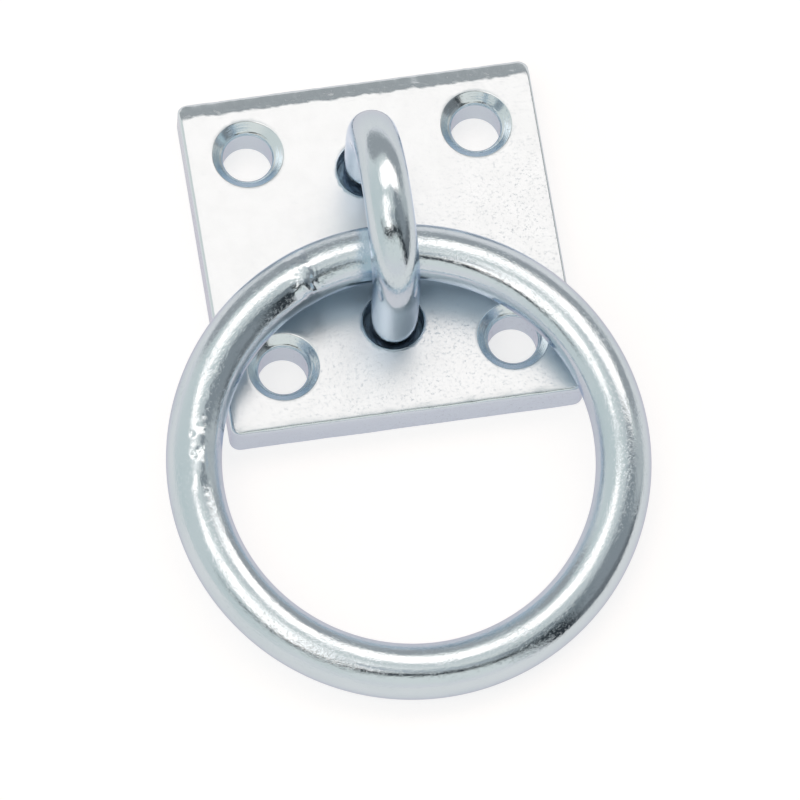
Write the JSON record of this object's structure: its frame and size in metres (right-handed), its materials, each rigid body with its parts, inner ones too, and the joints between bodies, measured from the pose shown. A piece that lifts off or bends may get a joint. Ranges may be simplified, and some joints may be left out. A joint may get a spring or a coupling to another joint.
{
  "type": "ring on plate",
  "caption": "Square countersunk fixing plate with a round-bar staple fixed through it and a welded ring that swings in the staple.",
  "frame": {"origin": "centre of the plate's back face, which lies against the wall or the bench", "axes": "+Z out of the plate's front face, +Y from the lower staple leg to the upper one, +X across the plate, along the ring's swing axis"},
  "size_m": [0.0676, 0.0925, 0.0316],
  "materials": {
    "plate_zinc": "bright blue-white zinc plate on rolled flat bar, satin",
    "staple_zinc": "bright blue-white zinc plate on drawn round bar, glossy",
    "ring_zinc": "bright blue-white zinc plate on drawn round bar, glossy with fine lengthwise draw marks",
    "weld_zinc": "zinc plated weld metal, rough"
  },
  "bodies": {
    "plate": {"mounting_plate": "plate_zinc", "staple": "staple_zinc", "upper_staple_weld": "weld_zinc", "lower_staple_weld": "weld_zinc"},
    "swing_ring": {"ring": "ring_zinc", "ring_weld": "weld_zinc"}
  },
  "joints": [
    {"name": "ring_swing", "type": "hinge", "parent": "plate", "child": "swing_ring", "pos_m": [-0.0014, -0.00405, 0.01325], "axis": [-1, 0, 0], "range_deg": [0, 160]}
  ]
}
